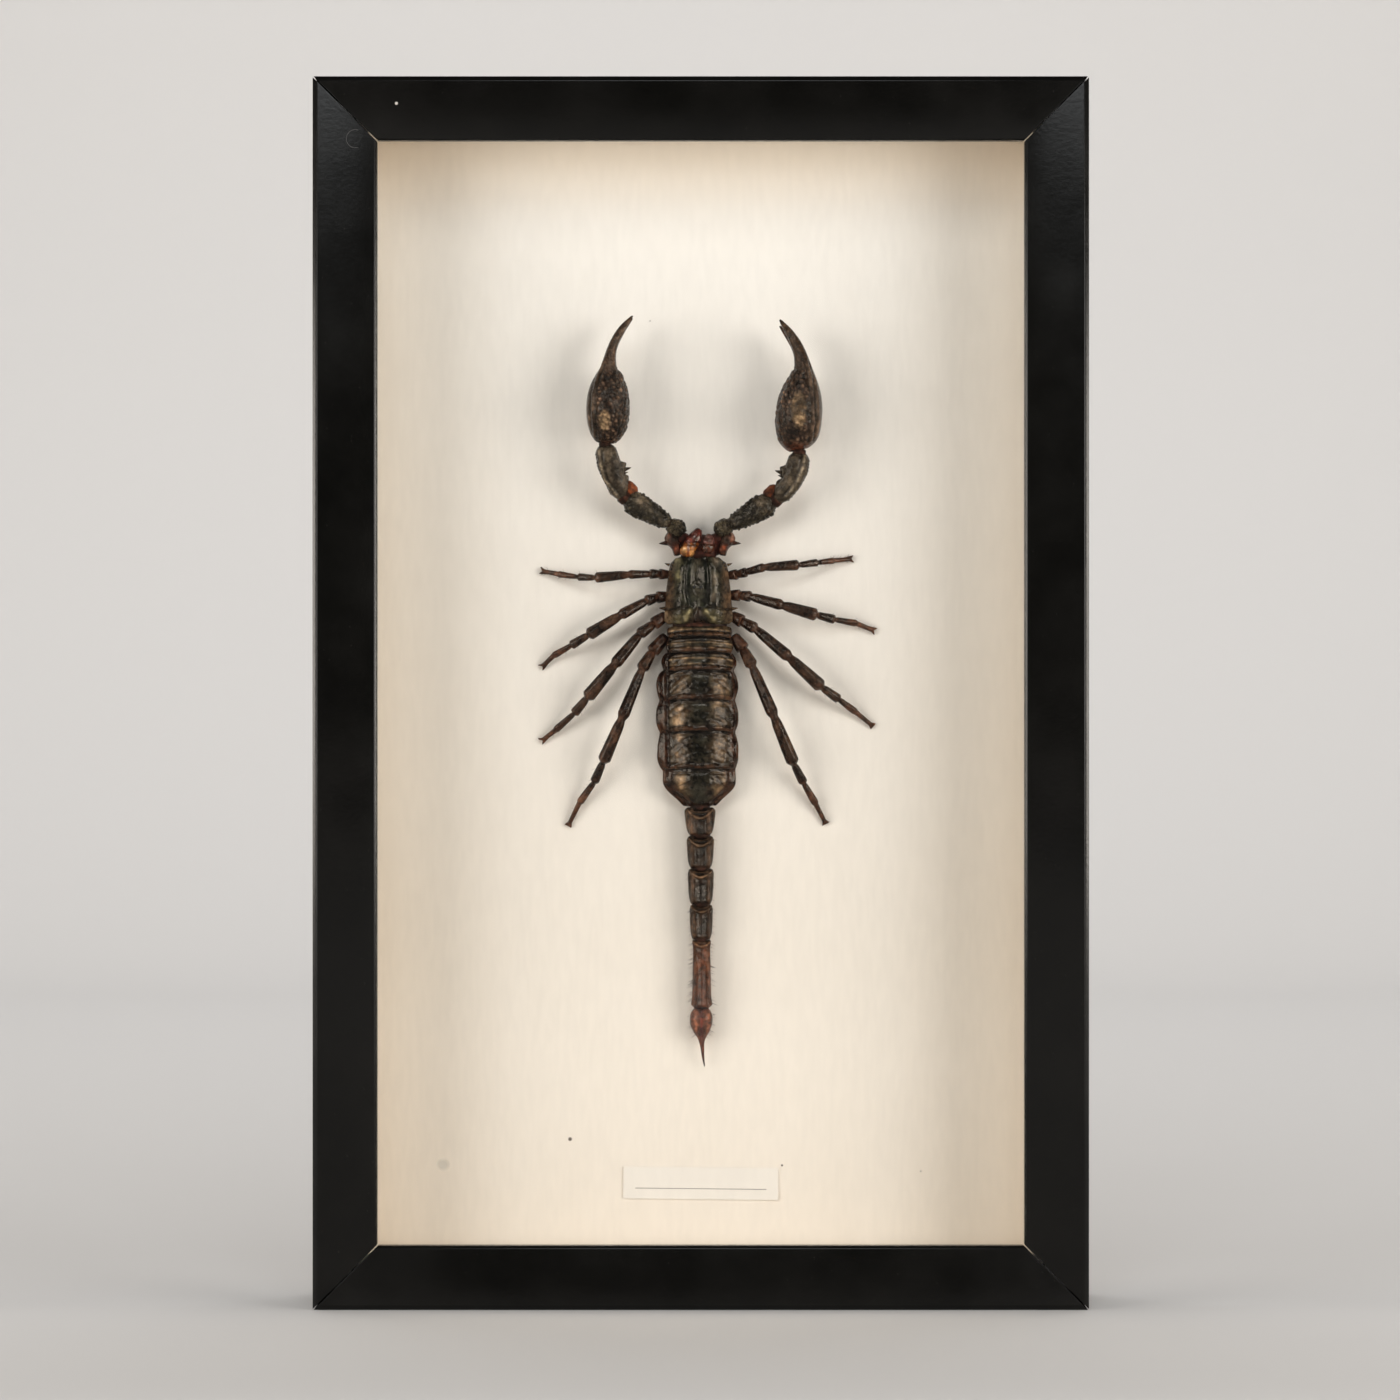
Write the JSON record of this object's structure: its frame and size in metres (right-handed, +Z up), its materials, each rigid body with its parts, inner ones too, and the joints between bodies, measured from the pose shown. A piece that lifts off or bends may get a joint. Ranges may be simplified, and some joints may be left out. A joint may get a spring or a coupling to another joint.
{
  "type": "framed scorpion specimen",
  "caption": "Dried scorpion mounted back up on a cream board in a deep black box frame with a glass front, a bare name slip below and a hanger plate behind.",
  "frame": {"origin": "middle of the underside of the frame, on the surface that it stands on", "axes": "+X to the right as seen from the front, +Z up, and the glass faces -Y"},
  "size_m": [0.18, 0.04, 0.286],
  "materials": {
    "frame_lacquer": "satin black lacquer over a wooden moulding, faint grain",
    "glass": "clear picture glass, 2 mm",
    "spacer_card": "cream card strips",
    "mount_board": "matt cream mount board, slightly toned",
    "name_slip": "uncoated paper slip, ruled, with no lettering",
    "back_panel": "brown fibreboard",
    "steel": "zinc plated sheet steel",
    "body_shell": "black shell with a greenish gloss and brown side skin",
    "tail_shell": "brown black keeled shell, reddish brown towards the sting",
    "leg_shell": "dark brown shell with red brown joints and feet",
    "arm_shell": "granular brown black shell with orange red joint skin",
    "claw_shell": "granular brown black shell with dull bronze patches",
    "jaw_shell": "red brown to amber shell"
  },
  "bodies": {
    "root": {"frame_rail_top": "frame_lacquer", "frame_rail_bottom": "frame_lacquer", "frame_rail_left": "frame_lacquer", "frame_rail_right": "frame_lacquer", "glass_pane": "glass", "spacer_strip_top": "spacer_card", "spacer_strip_bottom": "spacer_card", "spacer_strip_left": "spacer_card", "spacer_strip_right": "spacer_card", "mount_board": "mount_board", "name_slip": "name_slip", "back_panel": "back_panel", "back_tab_top": "steel", "back_tab_bottom": "steel", "back_tab_left_lower": "steel", "back_tab_left_upper": "steel", "back_tab_right_lower": "steel", "back_tab_right_upper": "steel", "hanger_plate": "steel", "hanger_rivet_left": "steel", "hanger_rivet_right": "steel", "carapace": "body_shell", "abdomen": "body_shell", "tail_segment_1": "tail_shell", "tail_segment_2": "tail_shell", "tail_segment_3": "tail_shell", "tail_segment_4": "tail_shell", "tail_segment_5": "tail_shell", "telson": "tail_shell", "leg_left_1": "leg_shell", "leg_left_2": "leg_shell", "leg_left_3": "leg_shell", "leg_left_4": "leg_shell", "leg_right_1": "leg_shell", "leg_right_2": "leg_shell", "leg_right_3": "leg_shell", "leg_right_4": "leg_shell", "arm_coxa_left": "arm_shell", "arm_coxa_right": "arm_shell", "arm_trochanter_left": "arm_shell", "arm_trochanter_right": "arm_shell", "arm_femur_left": "arm_shell", "arm_femur_right": "arm_shell", "arm_patella_left": "arm_shell", "arm_patella_right": "arm_shell", "claw_hand_left": "claw_shell", "claw_hand_right": "claw_shell", "claw_finger_left": "claw_shell", "claw_finger_right": "claw_shell", "chelicera_left": "jaw_shell", "chelicera_right": "jaw_shell"}
  },
  "joints": []
}
